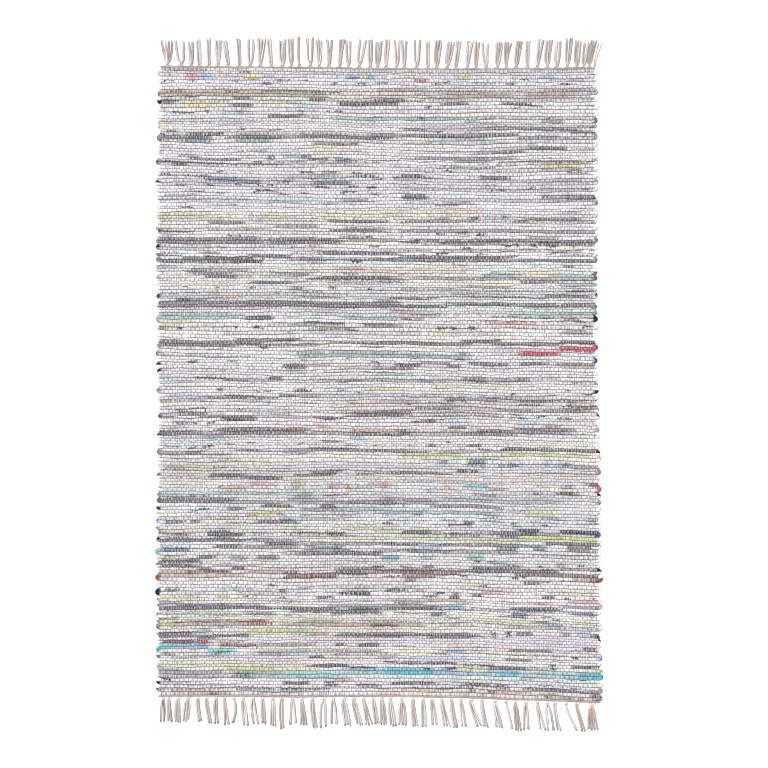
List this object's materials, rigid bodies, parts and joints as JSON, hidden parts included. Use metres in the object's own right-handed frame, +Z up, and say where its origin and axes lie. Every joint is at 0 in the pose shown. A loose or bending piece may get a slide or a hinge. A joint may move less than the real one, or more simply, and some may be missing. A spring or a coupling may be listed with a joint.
{
  "type": "rag rug",
  "caption": "Flat hand-woven rag rug: cotton warp over multicoloured rag weft, a woven heading and a fringe of knotted warp tassels at both ends. It lies flat on a floor.",
  "frame": {"origin": "on the floor under the middle of the whole rug, fringes included", "axes": "+X across the width, to the right as seen from above; +Y along the length, towards the end that carries fringe_top; +Z up out of the floor"},
  "size_m": [1.6268, 2.5138, 0.007],
  "materials": {
    "rag_weave": "matt plain weave, cotton warp in two whites and a tan over mixed cotton rags, mostly white with streaks of every colour",
    "heading_cord": "matt tan and grey cotton cord",
    "fringe_yarn": "matt twisted cotton yarn, off-white with one end in three tan"
  },
  "bodies": {
    "root": {"rug_body": "rag_weave", "heading_top": "heading_cord", "heading_bottom": "heading_cord", "fringe_top": "fringe_yarn", "fringe_bottom": "fringe_yarn"}
  },
  "joints": []
}
